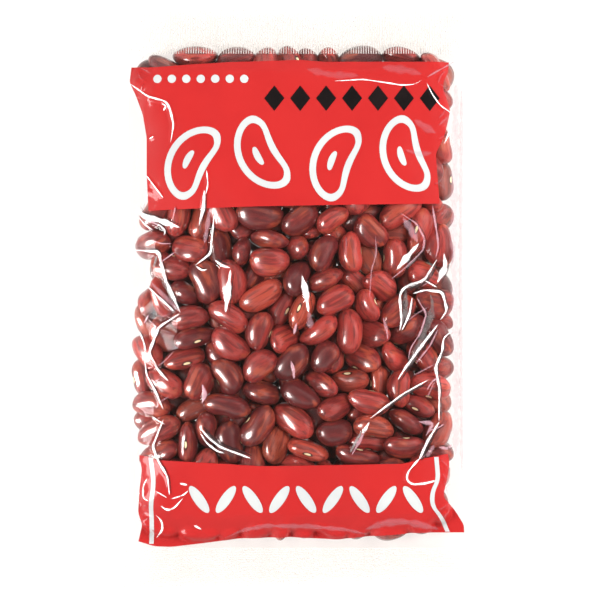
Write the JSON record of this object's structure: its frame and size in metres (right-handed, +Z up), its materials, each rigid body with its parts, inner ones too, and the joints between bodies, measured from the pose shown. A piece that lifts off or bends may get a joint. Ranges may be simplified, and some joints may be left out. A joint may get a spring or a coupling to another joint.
{
  "type": "bag of dried beans",
  "caption": "Clear heat-sealed film bag of dried red kidney beans, lying flat with its printed front up: red bands above and below a clear window.",
  "frame": {"origin": "middle of the film's outline, on the floor that the back of the bag lies on", "axes": "+X across the bag to the right of its printed front, +Y along the bag from its foot to its head, +Z up out of the front"},
  "size_m": [0.1296, 0.2102, 0.0203],
  "materials": {
    "bean_skin": "polished dark red seed coat",
    "clear_film": "glossy clear film",
    "printed_film": "glossy red ink on film"
  },
  "bodies": {
    "root": {"beans": "bean_skin", "film_seals": "clear_film", "print_band_head": "printed_film", "print_band_foot": "printed_film"}
  },
  "joints": []
}
